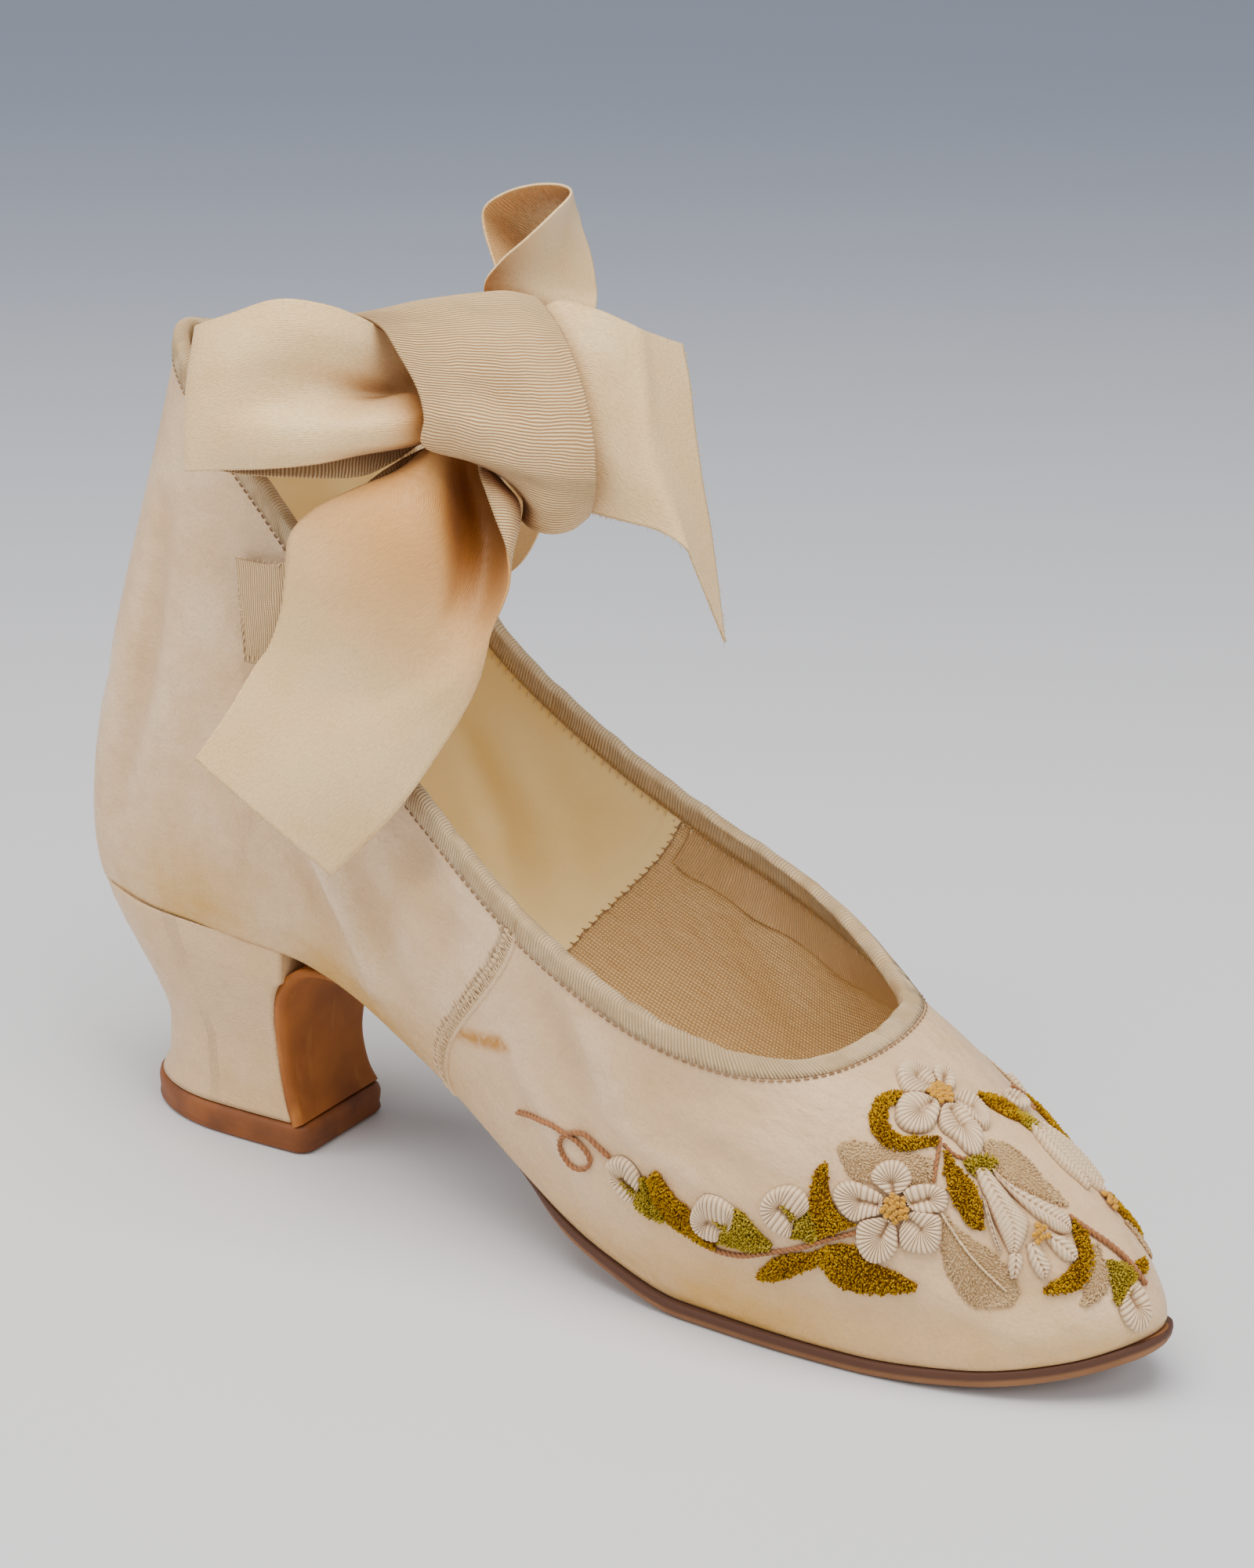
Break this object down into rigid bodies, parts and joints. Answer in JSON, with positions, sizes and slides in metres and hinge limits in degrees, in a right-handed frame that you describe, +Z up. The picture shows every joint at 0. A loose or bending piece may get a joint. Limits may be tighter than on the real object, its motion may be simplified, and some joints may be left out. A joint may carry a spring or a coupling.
{
  "type": "satin slipper",
  "caption": "Ivory satin slipper with a high winged back tied by a ribbon bow, a low curved heel, a thin leather sole and raised floral embroidery over the toe.",
  "frame": {"origin": "centre of the heel's top piece, on the floor", "axes": "+X to the toe, +Y to the shoe's left, +Z up"},
  "size_m": [0.2332, 0.1033, 0.1904],
  "materials": {
    "upper_satin": "ivory satin, soft sheen",
    "binding_ribbon": "cream ribbed ribbon",
    "sole_leather": "tan leather with a dark edge",
    "lift_leather": "dark brown leather",
    "heel_satin": "ivory satin over a wooden block",
    "sock_leather": "pale kid leather",
    "bow_ribbon": "satin ribbon with a ribbed back",
    "petal_ribbon": "ivory ribbed ribbon",
    "leaf_chenille": "olive chenille, matt",
    "pale_chenille": "beige chenille, matt"
  },
  "bodies": {
    "root": {"bell_left": "petal_ribbon", "bell_right": "petal_ribbon", "bow_knot": "bow_ribbon", "bow_loop_side": "bow_ribbon", "bow_loop_upright": "bow_ribbon", "bow_tail_front": "bow_ribbon", "bow_tail_side": "bow_ribbon", "bud_scroll_left": "petal_ribbon", "bud_scroll_right": "petal_ribbon", "bud_toe": "petal_ribbon", "bud_upright_left": "petal_ribbon", "bud_upright_right": "petal_ribbon", "bud_vine_left": "petal_ribbon", "bud_vine_right": "petal_ribbon", "collar_binding": "binding_ribbon", "flower_left": "petal_ribbon", "flower_right": "petal_ribbon", "flower_throat": "petal_ribbon", "heel": "heel_satin", "insole": "sock_leather", "leaf_bell_left": "leaf_chenille", "leaf_bell_right": "leaf_chenille", "leaf_ridge": "leaf_chenille", "leaf_stem_back_left": "leaf_chenille", "leaf_stem_back_right": "leaf_chenille", "leaf_stem_front_left": "leaf_chenille", "leaf_stem_front_right": "leaf_chenille", "leaf_throat": "leaf_chenille", "leaf_toe_left": "leaf_chenille", "leaf_toe_right": "leaf_chenille", "leaf_upright_left": "leaf_chenille", "leaf_upright_right": "leaf_chenille", "leaf_vine_left": "leaf_chenille", "leaf_vine_right": "leaf_chenille", "outsole": "sole_leather", "pale_leaf_ball_left": "pale_chenille", "pale_leaf_ball_right": "pale_chenille", "pale_leaf_ridge": "pale_chenille", "pale_leaf_toe_left": "pale_chenille", "pale_leaf_toe_right": "pale_chenille", "pale_leaf_vamp_left": "pale_chenille", "pale_leaf_vamp_right": "pale_chenille", "ribbon_end_left": "bow_ribbon", "ribbon_end_right": "bow_ribbon", "tie_left": "bow_ribbon", "tie_right": "bow_ribbon", "top_piece": "lift_leather", "upper": "upper_satin"}
  },
  "joints": []
}
